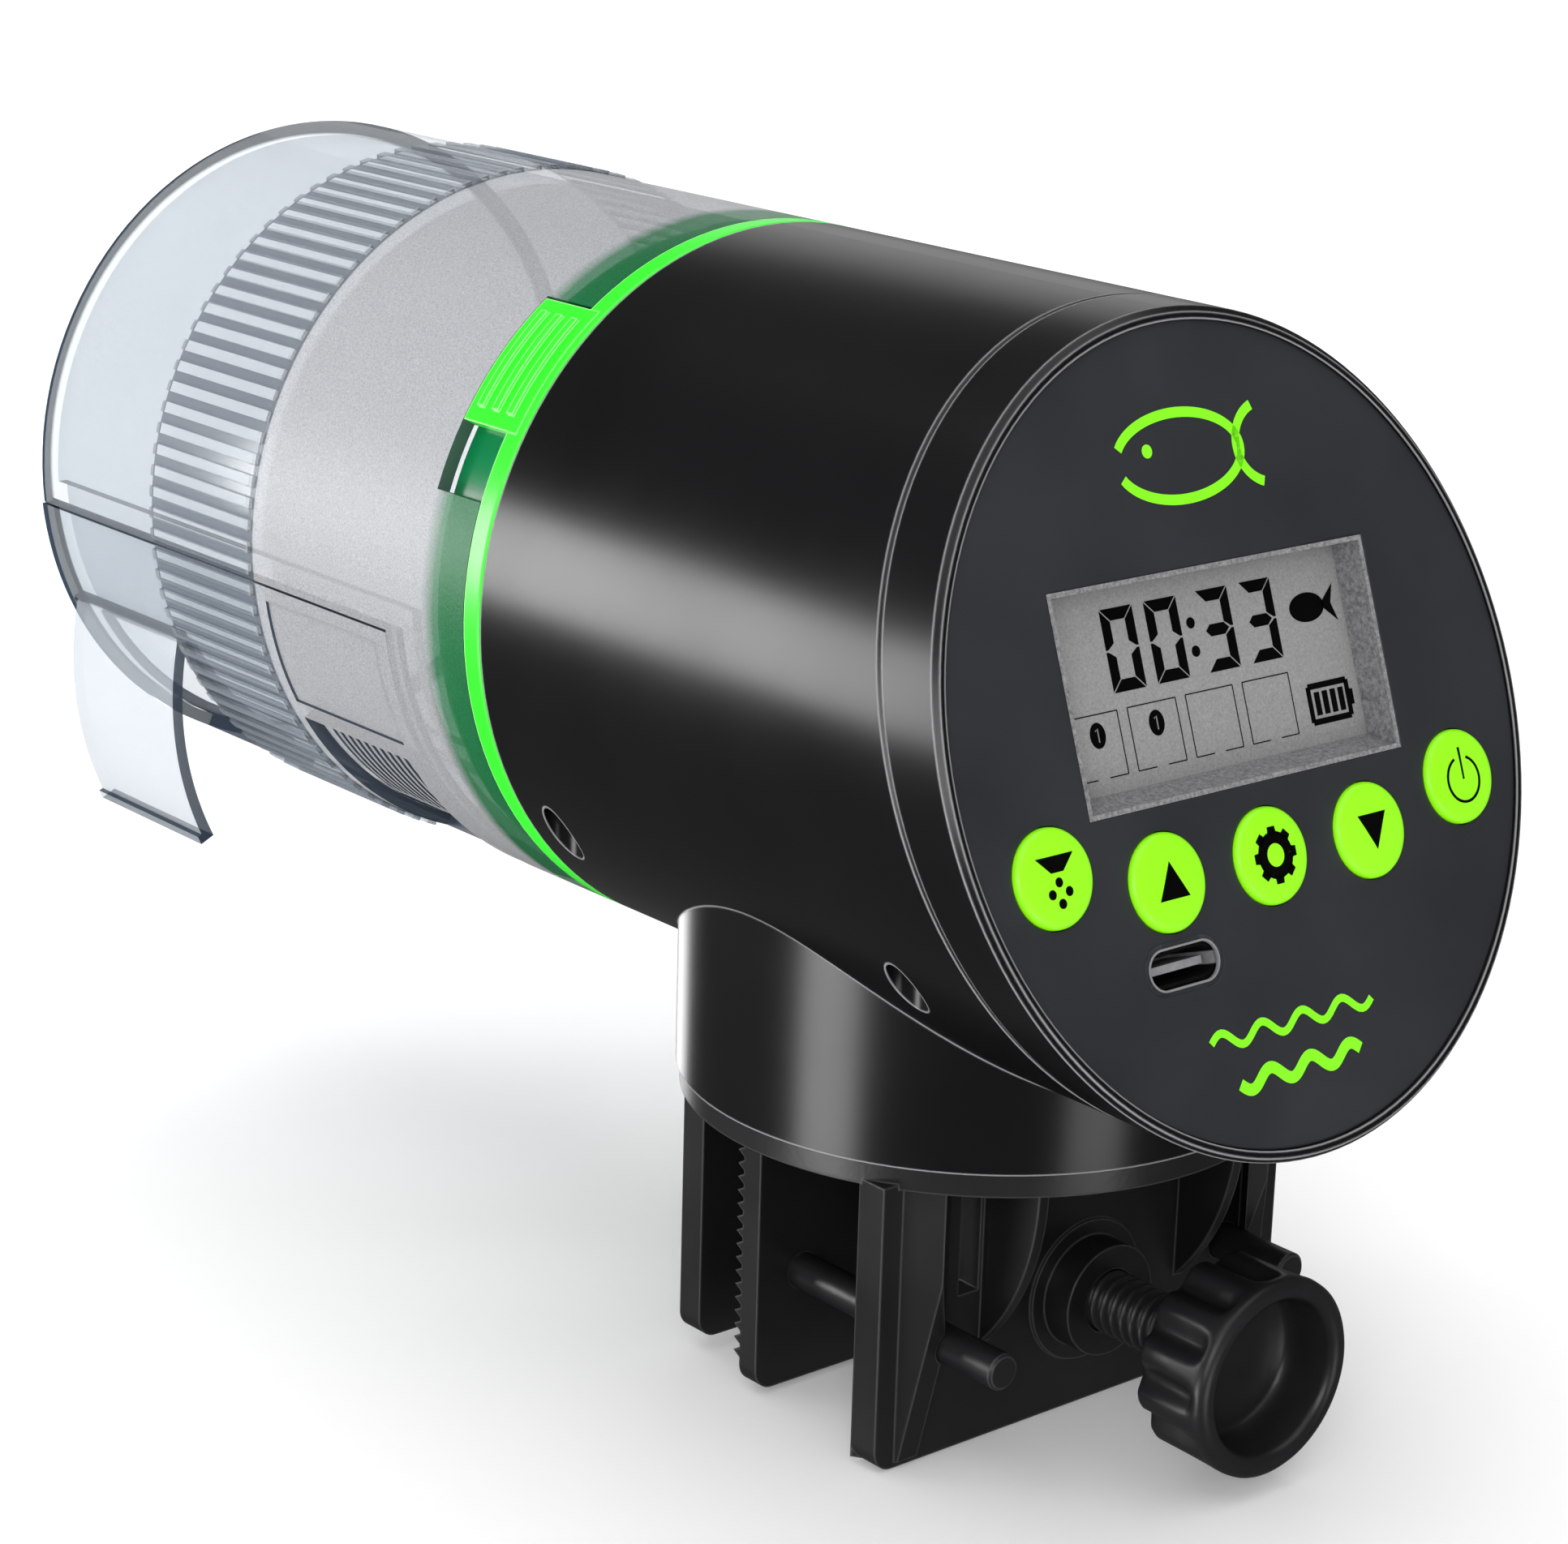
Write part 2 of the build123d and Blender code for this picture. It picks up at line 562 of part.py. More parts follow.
def dose_gate():
    """The curved shutter that slides round the drum, with its window and the flap's opening."""
    low, high = GATE_SPAN
    inner, outer = LINER_R + 0.05, BODY_R - 0.05
    gate = arc_wall(inner, outer, RECESS_Y + 0.1, DRUM_END - 0.2, low, high)
    gate += arc_wall(inner, inner + 0.6, RECESS_Y - 0.8, RECESS_Y + 0.5, low, high)
    for rib in knurl(low, high):
        gate += rib
    gate -= arc_wall(30, 40, FLAP_Y[0] - 0.2, FLAP_Y[1] + 0.2, FLAP_SPAN[0] - 1.3, FLAP_SPAN[1] + 0.6)
    gate -= arc_wall(30, 40, *WINDOW_Y, *WINDOW_SPAN)
    gate -= arc_wall(BODY_R - 0.35, 40, 18.0, 37.0, 8.5, 27.5)
    x, z = rim_point(FLAP_HINGE_R, FLAP_SPAN[0])
    return gate - rod(0.42, FLAP_Y[0] - 1.2, FLAP_Y[1] + 1.2, x=x, z=z)


def outlet_flap():
    """The flap over the outlet, hanging open from its hinge."""
    inner, outer = LINER_R + 0.1, BODY_R - 0.1
    low, high = FLAP_SPAN
    x, z = rim_point(FLAP_HINGE_R, low)
    plate = arc_wall(inner, outer, *FLAP_Y, low, high)
    plate += arc_wall(inner, outer + 0.5, *FLAP_Y, high - 1.6, high)
    plate += rod(0.6, *FLAP_Y, x=x, z=z)
    plate += rod(0.35, FLAP_Y[0] - 1.0, FLAP_Y[1] + 1.0, x=x, z=z)
    return plate.rotate(Axis((x, 0, z), (0, 1, 0)), FLAP_OPEN)


os.makedirs("parts", exist_ok=True)
SINGLE_NODES = [
    clamp_frame, clamp_jaw, guide_pins, clamp_screw, clamp_knob, swivel_retainer, swivel_screw,
    body_shell, front_bezel, face_panel, lcd_frame, lcd_panel, button_switches, main_board,
    board_screws, usb_socket, chassis, housing_screws, battery_pack, motor, motor_pinion,
    compound_gear, compound_axle, output_gear, drive_shaft, shaft_bush, drum_hub, hub_screw,
    lock_ring, drum_shell, dose_gate, outlet_flap,
]
for make in SINGLE_NODES:
    save(make.__name__, make())
for label, spot in BUTTONS.items():
    save(f"button_{label}", button(spot))
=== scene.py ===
"""Looks for the automatic fish feeder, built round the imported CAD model. Metres, +Z up."""
import json
import math

import bmesh
import bpy
from mathutils import Matrix, Vector


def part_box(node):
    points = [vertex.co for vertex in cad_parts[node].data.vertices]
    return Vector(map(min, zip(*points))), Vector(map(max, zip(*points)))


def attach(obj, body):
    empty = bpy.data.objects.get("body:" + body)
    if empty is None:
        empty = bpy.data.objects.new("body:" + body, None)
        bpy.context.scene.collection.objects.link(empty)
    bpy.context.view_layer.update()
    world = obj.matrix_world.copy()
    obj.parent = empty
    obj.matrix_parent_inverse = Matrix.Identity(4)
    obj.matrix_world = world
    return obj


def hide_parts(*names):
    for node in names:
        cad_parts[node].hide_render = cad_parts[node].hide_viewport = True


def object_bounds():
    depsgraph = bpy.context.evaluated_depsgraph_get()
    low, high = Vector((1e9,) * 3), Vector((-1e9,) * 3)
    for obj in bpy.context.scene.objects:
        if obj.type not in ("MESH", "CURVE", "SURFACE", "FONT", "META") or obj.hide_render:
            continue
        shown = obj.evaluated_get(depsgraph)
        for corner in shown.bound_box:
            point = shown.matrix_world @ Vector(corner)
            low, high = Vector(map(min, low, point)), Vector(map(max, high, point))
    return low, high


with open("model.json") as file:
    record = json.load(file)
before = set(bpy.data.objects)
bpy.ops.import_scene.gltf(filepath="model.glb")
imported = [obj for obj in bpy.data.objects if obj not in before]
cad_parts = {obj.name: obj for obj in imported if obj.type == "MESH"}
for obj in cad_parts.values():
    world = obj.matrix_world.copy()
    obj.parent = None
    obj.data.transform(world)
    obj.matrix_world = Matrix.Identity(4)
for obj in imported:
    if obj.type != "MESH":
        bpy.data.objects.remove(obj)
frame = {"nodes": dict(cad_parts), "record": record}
cad_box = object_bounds()
MM = 0.001

# Places taken from the frame
JOINTS = {joint["name"]: joint for joint in frame["record"]["behaviour"]["joints"]}
DRUM_AXIS = Vector(JOINTS["drum_spin"]["pos_m"])
SCREW_AXIS = Vector(JOINTS["screw_turn"]["pos_m"])
FACE_OUT = -Vector(JOINTS["press_set"]["axis"]).normalized()
FACE_RIGHT = Vector((1, 0, 0))
FACE_UP = FACE_OUT.cross(FACE_RIGHT).normalized()

# Camera at the photograph's angle
CAMERA_AZIMUTH = math.radians(-40.39)
CAMERA_ELEVATION = math.radians(16.95)
CAMERA_ROLL = math.radians(1.63)
CAMERA_DISTANCE = 0.39036
CAMERA_AIM = Vector((-0.00219, 0.01356, 0.0242))
LENS, SENSOR_WIDTH = 91.6, 36
CLIP_START = 0.01


# ---------------------------------------------------------------- materials

# The colour sockets of a Mix node
MIX_FIRST, MIX_SECOND, MIX_RESULT = 6, 7, 2
# How alike the rounded and the true normal are at a sharp edge, and clear of it
EDGE_LIKENESS = (0.95, 0.998)


class Shader:
    """A small helper that builds one node material."""

    def __init__(self, name):
        self.material = bpy.data.materials.new(name)
        self.material.use_nodes = True
        self.tree = self.material.node_tree
        self.principled = self.tree.nodes["Principled BSDF"]
        self.output = self.tree.nodes["Material Output"]
        self.texture = self.tree.nodes.new("ShaderNodeTexCoord")
        self.coords = self.texture.outputs["Object"]

    def node(self, kind, **settings):
        made = self.tree.nodes.new(kind)
        for key, value in settings.items():
            setattr(made, key, value)
        return made

    def link(self, source, target):
        self.tree.links.new(source, target)

    def feed(self, value, target):
        """Link a socket to the target, or set the target's own value."""
        if hasattr(value, "is_linked"):
            self.link(value, target)
        elif value is not None:
            target.default_value = value

    def set(self, **values):
        for key, value in values.items():
            self.principled.inputs[key.replace("_", " ")].default_value = value

    def noise(self, scale, detail, roughness=0.5):
        made = self.node("ShaderNodeTexNoise")
        made.inputs["Scale"].default_value = scale
        made.inputs["Detail"].default_value = detail
        made.inputs["Roughness"].default_value = roughness
        self.link(self.coords, made.inputs["Vector"])
        return made.outputs["Fac"]

    def remap(self, source, low, high, from_low=0.3, from_high=0.7):
        """Low at from_low to high at from_high; a noise seldom leaves 0.3 to 0.7."""
        made = self.node("ShaderNodeMapRange")
        made.inputs["From Min"].default_value = from_low
        made.inputs["From Max"].default_value = from_high
        made.inputs["To Min"].default_value = low
        made.inputs["To Max"].default_value = high
        self.link(source, made.inputs["Value"])
        return made.outputs["Result"]

    def rising(self, source, start, end):
        """0 up to start, 1 from end on."""
        return self.remap(source, 0.0, 1.0, start, end)

    def falling(self, source, start, end):
        """1 up to start, 0 from end on."""
        return self.remap(source, 1.0, 0.0, start, end)

    def mix(self, factor, first, second):
        """A colour between two colours, or two sockets."""
        made = self.node("ShaderNodeMix", data_type="RGBA")
        for index, value in ((MIX_FIRST, first), (MIX_SECOND, second)):
            colour = value if hasattr(value, "is_linked") else (*value, 1)
            self.feed(colour, made.inputs[index])
        self.link(factor, made.inputs["Factor"])
        return made.outputs[MIX_RESULT]

    def math(self, operation, first, second=None):
        made = self.node("ShaderNodeMath", operation=operation)
        self.feed(first, made.inputs[0])
        self.feed(second, made.inputs[1])
        return made.outputs[0]

    def vector(self, operation, first, second=None):
        made = self.node("ShaderNodeVectorMath", operation=operation)
        self.feed(first, made.inputs[0])
        self.feed(second, made.inputs[1])
        return made.outputs["Value" if operation == "DOT_PRODUCT" else "Vector"]

    def rounded(self, radius, samples):
        """A normal that turns smoothly over sharp edges."""
        bevel = self.node("ShaderNodeBevel", samples=samples)
        bevel.inputs["Radius"].default_value = radius
        return bevel.outputs["Normal"]

    def edges(self, radius):
        """1 along sharp edges, 0 on open surfaces."""
        rounded = self.rounded(radius, 6)
        true_normal = self.node("ShaderNodeNewGeometry").outputs["Normal"]
        return self.falling(self.vector("DOT_PRODUCT", rounded, true_normal), *EDGE_LIKENESS)

    def surface(self, height, strength, distance=0.0001, edge=0.0):
        """Bump from a height, over an edge-rounding normal."""
        bump = self.node("ShaderNodeBump")
        bump.inputs["Strength"].default_value = strength
        bump.inputs["Distance"].default_value = distance
        self.link(height, bump.inputs["Height"])
        if edge:
            self.link(self.rounded(edge, 4), bump.inputs["Normal"])
        self.link(bump.outputs["Normal"], self.principled.inputs["Normal"])


def moulded(name, colour, rough=(0.25, 0.35), grain=1200, bump=0.05, edge=0.0003, tint=0.15,
            painted_edge_highlight=None, **extra):
    """Moulded plastic: slight cloudiness in colour and gloss, fine grain, soft edges with a painted
    highlight.
    """
    shader = Shader(name)
    cloud = shader.noise(60, 4)
    fine = shader.noise(grain, 2)
    darker = tuple(channel * (1 - tint) for channel in colour)
    lighter = tuple(min(1.0, channel * (1 + tint)) for channel in colour)
    base = shader.mix(shader.remap(cloud, 0, 1), darker, lighter)
    # Sharp edges take a paler colour: a painted highlight
    if painted_edge_highlight:
        base = shader.mix(shader.edges(edge), base, painted_edge_highlight)
    shader.link(base, shader.principled.inputs["Base Color"])
    shader.link(shader.remap(cloud, *rough), shader.principled.inputs["Roughness"])
    shader.surface(fine, bump, edge=edge)
    shader.set(**extra)
    return shader.material


def speckled(name, colour, contrast, grain):
    """Grey plastic with a fine speckle."""
    shader = Shader(name)
    speckle = shader.noise(grain, 3, 0.7)
    strength = shader.remap(speckle, 1 - contrast, 1 + contrast)
    tone = shader.node("ShaderNodeCombineColor")
    for channel, value in zip(("Red", "Green", "Blue"), colour):
        shader.link(shader.math("MULTIPLY", strength, value), tone.inputs[channel])
    shader.link(tone.outputs["Color"], shader.principled.inputs["Base Color"])
    shader.surface(speckle, 0.25)
    shader.set(Roughness=0.5, Specular_IOR_Level=0.25)
    return shader.material


def port_metal(name):
    """The charge port: black inside its shell, with a grey contact tongue."""
    tongue_side, tongue_end = 0.5 * MM, 0.6 * MM
    shader = Shader(name)
    low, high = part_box("usb_socket")
    from_middle = shader.vector("SUBTRACT", shader.coords, tuple((low + high) / 2))
    above = shader.vector("DOT_PRODUCT", from_middle, tuple(FACE_UP))
    tongue = shader.falling(shader.math("ABSOLUTE", above), tongue_side, tongue_end)
    grain = shader.noise(1500, 2)
    grey = shader.mix(grain, (0.20, 0.20, 0.21), (0.34, 0.34, 0.35))
    base = shader.mix(tongue, (0.004, 0.004, 0.004), grey)
    shader.link(base, shader.principled.inputs["Base Color"])
    shader.surface(grain, 0.1)
    shader.set(Roughness=0.45, Specular_IOR_Level=0.2)
    return shader.material


def metal(name, colour):
    """Metal with fine drawn lines."""
    shader = Shader(name)
    mapping = shader.node("ShaderNodeMapping")
    mapping.inputs["Scale"].default_value = (400, 400, 60)
    shader.link(shader.coords, mapping.inputs["Vector"])
    lines = shader.node("ShaderNodeTexNoise")
    lines.inputs["Scale"].default_value = 5
    shader.link(mapping.outputs["Vector"], lines.inputs["Vector"])
    drawn = lines.outputs["Fac"]
    darker = tuple(channel * 0.8 for channel in colour)
    shader.link(shader.mix(drawn, darker, colour), shader.principled.inputs["Base Color"])
    shader.link(shader.remap(drawn, 0.2, 0.35), shader.principled.inputs["Roughness"])
    shader.surface(drawn, 0.05, edge=0.0001)
    shader.set(Metallic=1.0)
    return shader.material


# Places on the drum: lengths along its axis from the joint, and radii round the axis
KNURL_LOW, KNURL_HIGH, WALL_END = 38.7 * MM, 57.6 * MM, 79.2 * MM
HUB_WALL = (7.6 * MM, 9.6 * MM)
HUB_LID = (9.7 * MM, 9.9 * MM)
KNURL_RADII = (34.7 * MM, 34.8 * MM)
GROOVE_RADII = (35.06 * MM, 35.2 * MM)
RIM_RADII = (33.2 * MM, 33.6 * MM)
# Colours of the smoky plastic, as pairs that a noise runs between
CLEAR_HAZE = ((0.52, 0.56, 0.60), (0.60, 0.64, 0.68))
FROST_HAZE = ((0.32, 0.325, 0.34), (0.60, 0.605, 0.62))
HUB_HAZE = ((0.0, 0.11, 0.028), (0.01, 0.22, 0.07))
CLEAR_TINT, FROST_TINT = (0.88, 0.895, 0.91), (0.73, 0.735, 0.75)
# Painted shade for cut edges, rib sides, grooves and the rim corner, green-dark beside the hub
PAINTED_EDGE_SHADE, PAINTED_HUB_EDGE_SHADE = (0.02, 0.035, 0.06), (0.0, 0.075, 0.032)
# How much of the surface shows, where 0 is all see-through
SHOWN, SHOWN_FROSTED, SHOWN_SLANTING, SHOWN_EDGE, SHOWN_BY_HUB = 0.10, 0.36, 0.18, 0.88, 0.7
# How much painted shade the knurl's rib sides lose, and how much its grooves get
KNURL_EDGE_LOSS, GROOVE_SHADE = 0.45, 0.85


def drum_painted_shade(shader, along, radius, flat):
    """1 where painted shade goes: the drum's cut edges, the grooves of its knurl and the corner of
    its rim.
    """
    normal = shader.texture.outputs["Normal"]
    outward = shader.vector("NORMALIZE", flat)
    facing = shader.math("ABSOLUTE", shader.vector("DOT_PRODUCT", normal, outward))
    endwise = shader.math("ABSOLUTE", shader.vector("DOT_PRODUCT", normal, (0, 1, 0)))
    at_end = shader.rising(along, WALL_END - 0.8 * MM, WALL_END - 0.6 * MM)
    open_wall = shader.math("ADD", facing, shader.math("MULTIPLY", endwise, at_end))
    # Faces that turn away from the axis, the cut edges and rib sides, get painted shade
    cut = shader.falling(open_wall, 0.35, 0.75)

    in_knurl = shader.math("MULTIPLY", shader.rising(along, KNURL_LOW - 0.1 * MM, KNURL_LOW),
                           shader.falling(along, KNURL_HIGH, KNURL_HIGH + 0.1 * MM))
    in_knurl = shader.math("MULTIPLY", in_knurl, shader.rising(radius, *KNURL_RADII))
    # The grooves between the ribs get painted shade
    groove = shader.math("MULTIPLY", in_knurl, shader.falling(radius, *GROOVE_RADII))
    kept = shader.math("SUBTRACT", 1.0, shader.math("MULTIPLY", in_knurl, KNURL_EDGE_LOSS))
    edge = shader.math("MULTIPLY", cut, kept)
    edge = shader.math("MAXIMUM", edge, shader.math("MULTIPLY", groove, GROOVE_SHADE))
    # The corner of the rim gets painted shade too
    corner = shader.math("MULTIPLY", shader.rising(radius, *RIM_RADII),
                         shader.rising(along, WALL_END, WALL_END + 0.3 * MM))
    return shader.math("MAXIMUM", edge, corner)


def smoky_plastic(name, axis, milky=0.0):
    """Smoky clear plastic: frosted between the body and the knurled band, polished beyond it.

    Cut edges and rib sides, which don't face the part's axis, the grooves of the knurl and the
    corner of the rim get painted shade, dark as real clear plastic looks there, and the dark green
    hub colours the wall beside the bright ring.
    """
    shader = Shader(name)
    from_axis = shader.vector("SUBTRACT", shader.coords, tuple(axis))
    place = shader.node("ShaderNodeSeparateXYZ")
    shader.link(from_axis, place.inputs["Vector"])
    along = place.outputs["Y"]
    flat = shader.vector("MULTIPLY", from_axis, (1, 0, 1))
    radius = shader.math("SQRT", shader.vector("DOT_PRODUCT", flat, flat))
    frosted = shader.falling(along, KNURL_LOW, KNURL_LOW + 0.8 * MM)
    by_hub = shader.falling(along, *HUB_WALL)
    edge = drum_painted_shade(shader, along, radius, flat)

    rough = shader.math("ADD", shader.math("MULTIPLY", frosted, 0.33), 0.07 + 0.2 * milky)
    shader.link(rough, shader.principled.inputs["Roughness"])
    fine = shader.remap(shader.noise(5200, 2, 0.8), 0, 1)
    cloud = shader.remap(shader.noise(45, 3), 0, 1)
    haze = shader.mix(frosted, shader.mix(cloud, *CLEAR_HAZE), shader.mix(fine, *FROST_HAZE))
    haze = shader.mix(by_hub, haze, shader.mix(fine, *HUB_HAZE))
    # The painted shade is dark blue-grey, and dark green beside the hub
    edge_shade = shader.mix(shader.falling(along, *HUB_LID), PAINTED_EDGE_SHADE, PAINTED_HUB_EDGE_SHADE)
    shader.link(shader.mix(edge, haze, edge_shade), shader.principled.inputs["Base Color"])
    grain = shader.noise(2600, 2)
    shader.surface(shader.math("MULTIPLY", grain, frosted), 0.35, 0.00008)

    clear = shader.node("ShaderNodeBsdfTransparent")
    shader.link(shader.mix(frosted, CLEAR_TINT, FROST_TINT), clear.inputs["Color"])
    rim = shader.node("ShaderNodeLayerWeight")
    rim.inputs["Blend"].default_value = 0.35
    slanting = shader.math("MULTIPLY", rim.outputs["Facing"], SHOWN_SLANTING)
    amount = shader.math("ADD", shader.math("MULTIPLY", frosted, SHOWN_FROSTED), SHOWN + milky)
    amount = shader.math("ADD", amount, slanting)
    amount = shader.math("MAXIMUM", amount, shader.math("MULTIPLY", edge, SHOWN_EDGE))
    amount = shader.math("MAXIMUM", amount, shader.math("MULTIPLY", by_hub, SHOWN_BY_HUB))
    blend = shader.node("ShaderNodeMixShader")
    shader.link(amount, blend.inputs["Fac"])
    shader.link(clear.outputs["BSDF"], blend.inputs[1])
    shader.link(shader.principled.outputs["BSDF"], blend.inputs[2])
    shader.link(blend.outputs["Shader"], shader.output.inputs["Surface"])
    return shader.material


def flap_axis():
    """The centre of the flap's curve, which hangs open from its hinge."""
    joint = JOINTS["flap_swing"]
    hinge = Vector(joint["pos_m"])
    opened = Matrix.Rotation(math.radians(-joint["range_deg"][0]), 3, "Y")
    return hinge + opened @ (DRUM_AXIS - hinge)


MATERIALS = {
    # The housing, clamp and ring take a paler painted highlight along their sharp edges
    "housing_black": moulded("housing_black", (0.004, 0.004, 0.0045), (0.24, 0.27), 900, 0.01,
                             painted_edge_highlight=(0.36, 0.36, 0.37), Specular_IOR_Level=0.32),
    "clamp_black": moulded("clamp_black", (0.010, 0.010, 0.011), (0.3, 0.42), 1800, 0.12,
                           painted_edge_highlight=(0.05, 0.05, 0.052), Specular_IOR_Level=0.4),
    "ring_green": moulded("ring_green", (0.03, 0.82, 0.02), (0.22, 0.32), 900, 0.03, 0.00025, 0.06,
                          painted_edge_highlight=(0.42, 1.0, 0.36)),
    "hub_green": moulded("hub_green", (0.0, 0.16, 0.05), (0.12, 0.25), 900, 0.03, 0.0002),
    "drum_smoke": smoky_plastic("drum_smoke", DRUM_AXIS),
    "face_slate": moulded("face_slate", (0.022, 0.0235, 0.029), (0.38, 0.5), 2400, 0.08),
    "lcd_grey": speckled("lcd_grey", (0.20, 0.20, 0.207), 0.5, 2600),
    "lcd_glass": speckled("lcd_glass", (0.265, 0.265, 0.263), 0.2, 4200),
    "button_lime": moulded("button_lime", (0.30, 1.0, 0.002), (0.3, 0.4), 900, 0.03, 0.0002, 0.04),
    "lcd_trim": moulded("lcd_trim", (0.22, 0.22, 0.23), (0.3, 0.4), 900, 0.02, 0.0001),
    "steel": metal("steel", (0.62, 0.62, 0.64)),
    "brass": metal("brass", (0.72, 0.5, 0.22)),
    "board_green": moulded("board_green", (0.01, 0.09, 0.03), (0.3, 0.4)),
    "inner_black": moulded("inner_black", (0.015, 0.015, 0.015), (0.4, 0.5), 1500, 0.1),
    "battery_wrap": moulded("battery_wrap", (0.03, 0.1, 0.4)),
    "gear_white": moulded("gear_white", (0.75, 0.75, 0.70), (0.4, 0.5)),
}
INK = moulded("ink_black", (0.001, 0.001, 0.001), (0.5, 0.6), 900, 0.02, 0.0,
              Specular_IOR_Level=0.08)
LIME_INK = moulded("ink_lime", (0.22, 0.95, 0.0), (0.4, 0.5), 900, 0.02, 0.0, 0.04)


def paint(piece, material):
    piece.data.materials.clear()
    piece.data.materials.append(material)


SLOT_OF = {part["node"]: part["material_slot"] for part in frame["record"]["subparts"]}
for name, piece in frame["nodes"].items():
    paint(piece, MATERIALS[SLOT_OF[name]])
paint(frame["nodes"]["outlet_flap"], smoky_plastic("flap_smoke", flap_axis(), 0.12))
paint(frame["nodes"]["usb_socket"], port_metal("port_metal"))


# ------------------------------------------------------------- mesh helpers

def add_piece(name, mesh, material, body):
    piece = bpy.data.objects.new(name, mesh)
    bpy.context.scene.collection.objects.link(piece)
    mesh.materials.append(material)
    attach(piece, body)
    return piece


def ring_faces(rows, count):
    """Quads between rings that follow each other, each with the same count of points."""
    faces = []
    for row in range(rows - 1):
        this, following = row * count, (row + 1) * count
        for column in range(count):
            after = (column + 1) % count
            faces.append((this + column, this + after, following + after, following + column))
    return faces


def rings(name, loops, material, body):
    """A closed, smooth skin through rings of points, each with the same count."""
    count = len(loops[0])
    last = (len(loops) - 1) * count
    vertices = [tuple(point) for loop in loops for point in loop]
    faces = ring_faces(len(loops), count)
    faces += [tuple(range(count)), tuple(range(last, last + count))]
    mesh = bpy.data.meshes.new(name)
    mesh.from_pydata(vertices, [], faces)
    mesh.validate()
    mesh.update()
    working = bmesh.new()
    working.from_mesh(mesh)
    bmesh.ops.recalc_face_normals(working, faces=working.faces)
    working.to_mesh(mesh)
    working.free()
    mesh.shade_smooth()
    return add_piece(name, mesh, material, body)


def y_ring(axis, y, radius_at, count):
    """A ring of points about a Y axis, where radius_at gives the radius at each turn."""
    loop = []
    for index in range(count):
        turn = 2 * math.pi * index / count
        radius = radius_at(turn)
        loop.append(Vector((axis.x + radius * math.cos(turn), y, axis.z + radius * math.sin(turn))))
    return loop


# --------------------------------------------------------------- clamp screw

SCREW_CREST, SCREW_ROOT, SCREW_PITCH = 3.0 * MM, 2.25 * MM, 1.25 * MM
SCREW_COUNT, STEPS_PER_PITCH = 48, 8
# The screw narrows to the first share of its radius over this length at its end
END_SHARE, END_REST, END_LENGTH = 0.85, 0.15, 1.5 * MM


def clamp_screw():
    """The thumb screw with a helical thread, narrowed at its far end."""
    low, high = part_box("clamp_screw")
    steps = int((high.y - low.y) / SCREW_PITCH * STEPS_PER_PITCH)
    loops = []
    for step in range(steps + 1):
        y = low.y + (high.y - low.y) * step / steps
        tip = min(1.0, (high.y - y) / END_LENGTH)

        def radius_at(turn, y=y, tip=tip):
            phase = (y / SCREW_PITCH + turn / (2 * math.pi)) % 1.0
            wave = 0.5 + 0.5 * math.cos(2 * math.pi * phase)
            ridge = wave * wave * (3 - 2 * wave)
            radius = SCREW_ROOT + (SCREW_CREST - SCREW_ROOT) * ridge
            return radius * (END_SHARE + END_REST * tip)

        loops.append(y_ring(SCREW_AXIS, y, radius_at, SCREW_COUNT))
    piece = rings("clamp_screw_thread", loops, MATERIALS["clamp_black"],
                  "thumb_screw")
    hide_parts("clamp_screw")


FLUTES, KNOB_COUNT = 12, 288
FLUTE_DEPTH, FLUTE_SHARPNESS = 1.25, 1.6
# (share of the depth from the back, radius in mm, how deep the flutes run)
KNOB_PROFILE = (
    (0.0, 5.2, 0.0), (0.0, 7.6, 0.25), (0.01, 8.5, 0.55), (0.05, 9.1, 0.85), (0.12, 9.4, 1.0),
    (0.5, 9.45, 1.0), (0.7, 9.5, 1.0), (0.78, 9.55, 0.75), (0.84, 9.6, 0.3), (0.88, 9.58, 0.05),
    (0.94, 9.4, 0.0), (0.975, 9.1, 0.0), (0.995, 8.7, 0.0), (1.0, 8.3, 0.0), (0.99, 7.85, 0.0),
    (0.96, 7.5, 0.0), (0.91, 7.3, 0.0), (0.6, 7.1, 0.0), (0.42, 6.9, 0.0), (0.385, 6.5, 0.0),
    (0.385, 5.6, 0.0), (0.37, 5.35, 0.0), (0.365, 2.0, 0.0), (0.365, 0.2, 0.0),
)


def clamp_knob():
    """The fluted hand wheel: rounded rim, scalloped side, stepped hollow front."""
    low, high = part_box("clamp_knob")
    back, front = high.y, low.y
    outer = (high.x - low.x) / 2
    loops = []
    for share, radius, depth in KNOB_PROFILE:

        def radius_at(turn, radius=radius, depth=depth):
            scallop = (0.5 + 0.5 * math.cos(FLUTES * turn)) ** FLUTE_SHARPNESS
            return min(outer, (radius - FLUTE_DEPTH * depth * scallop) * MM)

        loops.append(y_ring(SCREW_AXIS, back + (front - back) * share, radius_at, KNOB_COUNT))
    piece = rings("clamp_knob_wheel", loops, MATERIALS["clamp_black"],
                  "thumb_screw")
    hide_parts("clamp_knob")


# ---------------------------------------------------- shapes on the slanted face

def face_point(centre, u, v, out):
    return centre + FACE_RIGHT * u + FACE_UP * v + FACE_OUT * out


def corners_of(name):
    return [vertex.co for vertex in frame["nodes"][name].data.vertices]


def top_of(name):
    """How far out along the face's outward direction a piece reaches."""
    return max(corner.dot(FACE_OUT) for corner in corners_of(name))


def middle_up(name):
    """The middle of a piece along the face's upward direction."""
    ups = [corner.dot(FACE_UP) for corner in corners_of(name)]
    return (max(ups) + min(ups)) / 2


